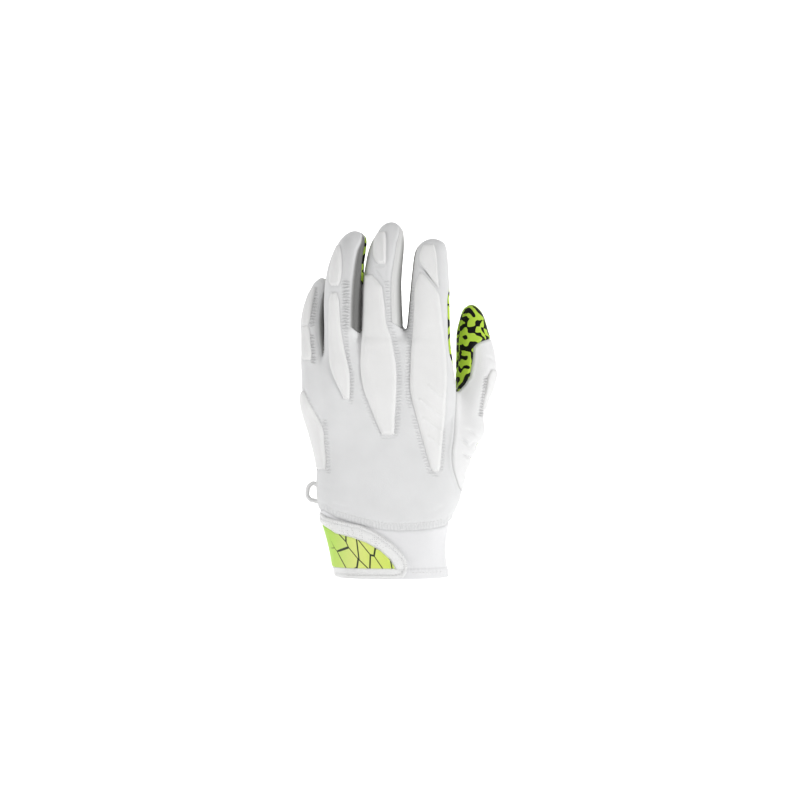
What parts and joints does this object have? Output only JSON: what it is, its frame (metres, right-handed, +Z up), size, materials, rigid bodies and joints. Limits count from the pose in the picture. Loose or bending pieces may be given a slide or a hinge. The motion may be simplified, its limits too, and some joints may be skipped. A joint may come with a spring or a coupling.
{
  "type": "football receiver glove",
  "caption": "Padded left-hand receiver glove, filled out as worn, with a grip palm, foam pads on the back and a wrist strap.",
  "frame": {"origin": "centre of the wrist opening, which holds the glove up", "axes": "+Z up the fingers, +X towards the thumb, -Y out of the back of the hand"},
  "size_m": [0.1257, 0.0597, 0.2277],
  "materials": {
    "white_cloth": "smooth white stretch knit",
    "wall_mesh": "pale grey stretch mesh",
    "lime_grip": "tacky lime grip cloth with a dark mottled print",
    "stretch_cuff": "fine white ribbed stretch band",
    "strap_white": "white perforated strap cloth and binding",
    "strap_lime": "lime strap panel with fine dark cracks",
    "pad_white": "white cloth over soft foam"
  },
  "bodies": {
    "root": {"back_panel": "white_cloth", "palm_panel": "lime_grip", "finger_wall_little_ring": "wall_mesh", "finger_wall_ring_middle": "wall_mesh", "finger_wall_middle_index": "wall_mesh", "thumb_panel": "white_cloth", "thumb_wrap": "lime_grip", "cuff_band": "stretch_cuff", "strap_base": "strap_white", "strap_print": "strap_lime", "strap_binding": "strap_white", "pull_tab": "strap_white", "pad_index_tip": "pad_white", "pad_index_long": "pad_white", "pad_middle_tip": "pad_white", "pad_middle_long": "pad_white", "pad_ring_tip": "pad_white", "pad_ring_long": "pad_white", "pad_little": "pad_white", "pad_hand_edge": "pad_white", "pad_thumb": "pad_white"}
  },
  "joints": []
}
